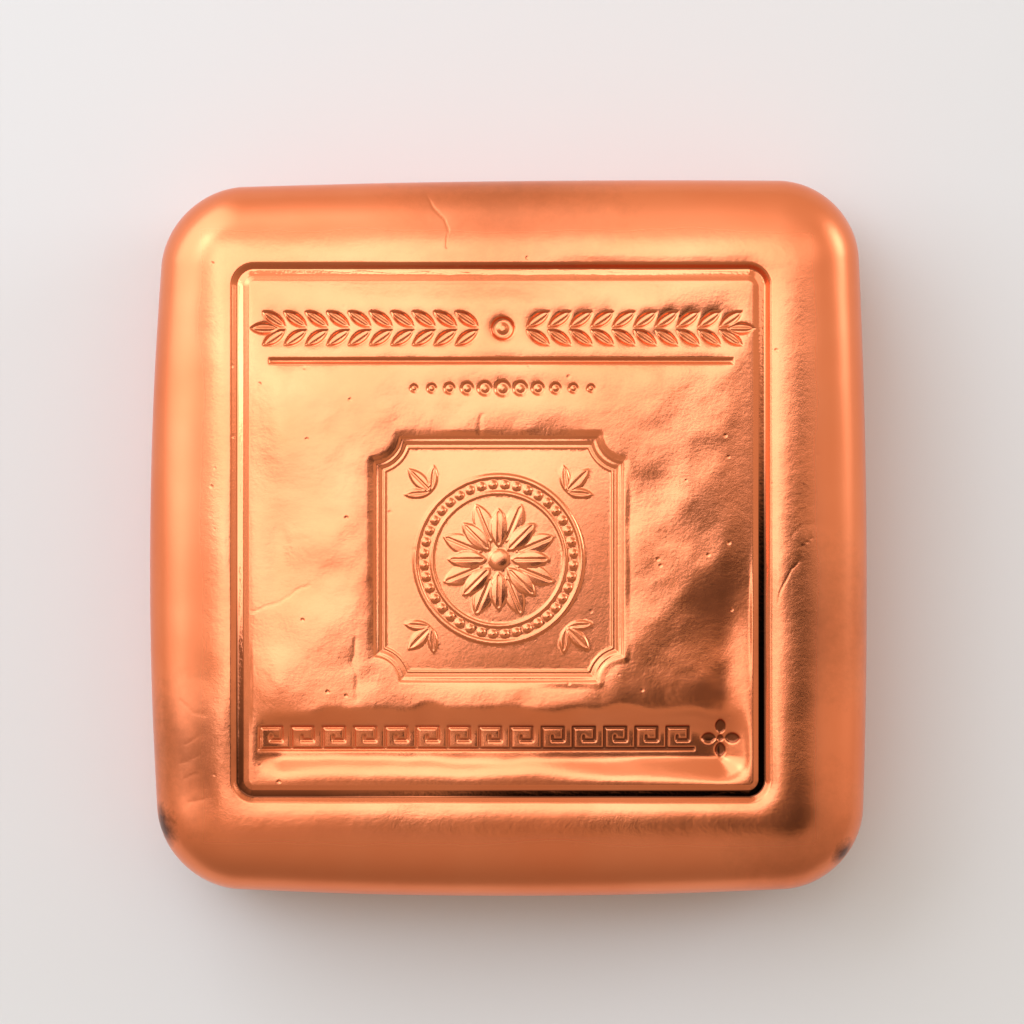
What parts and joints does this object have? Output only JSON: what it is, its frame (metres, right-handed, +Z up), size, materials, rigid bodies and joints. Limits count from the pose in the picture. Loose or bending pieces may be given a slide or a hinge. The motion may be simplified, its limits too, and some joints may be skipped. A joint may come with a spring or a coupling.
{
  "type": "copper ingot",
  "caption": "Square poured copper ingot with rounded edges and a struck pocket, sunk panel and ornament on its top face.",
  "frame": {"origin": "centre of the flat back that the ingot lies on", "axes": "+Z up through the struck face, +Y towards the edge above the straight rule, +X to the right when the struck face is read from above"},
  "size_m": [0.078, 0.078, 0.0201],
  "materials": {
    "copper": "satin"
  },
  "bodies": {
    "root": {"ingot": "copper"}
  },
  "joints": []
}
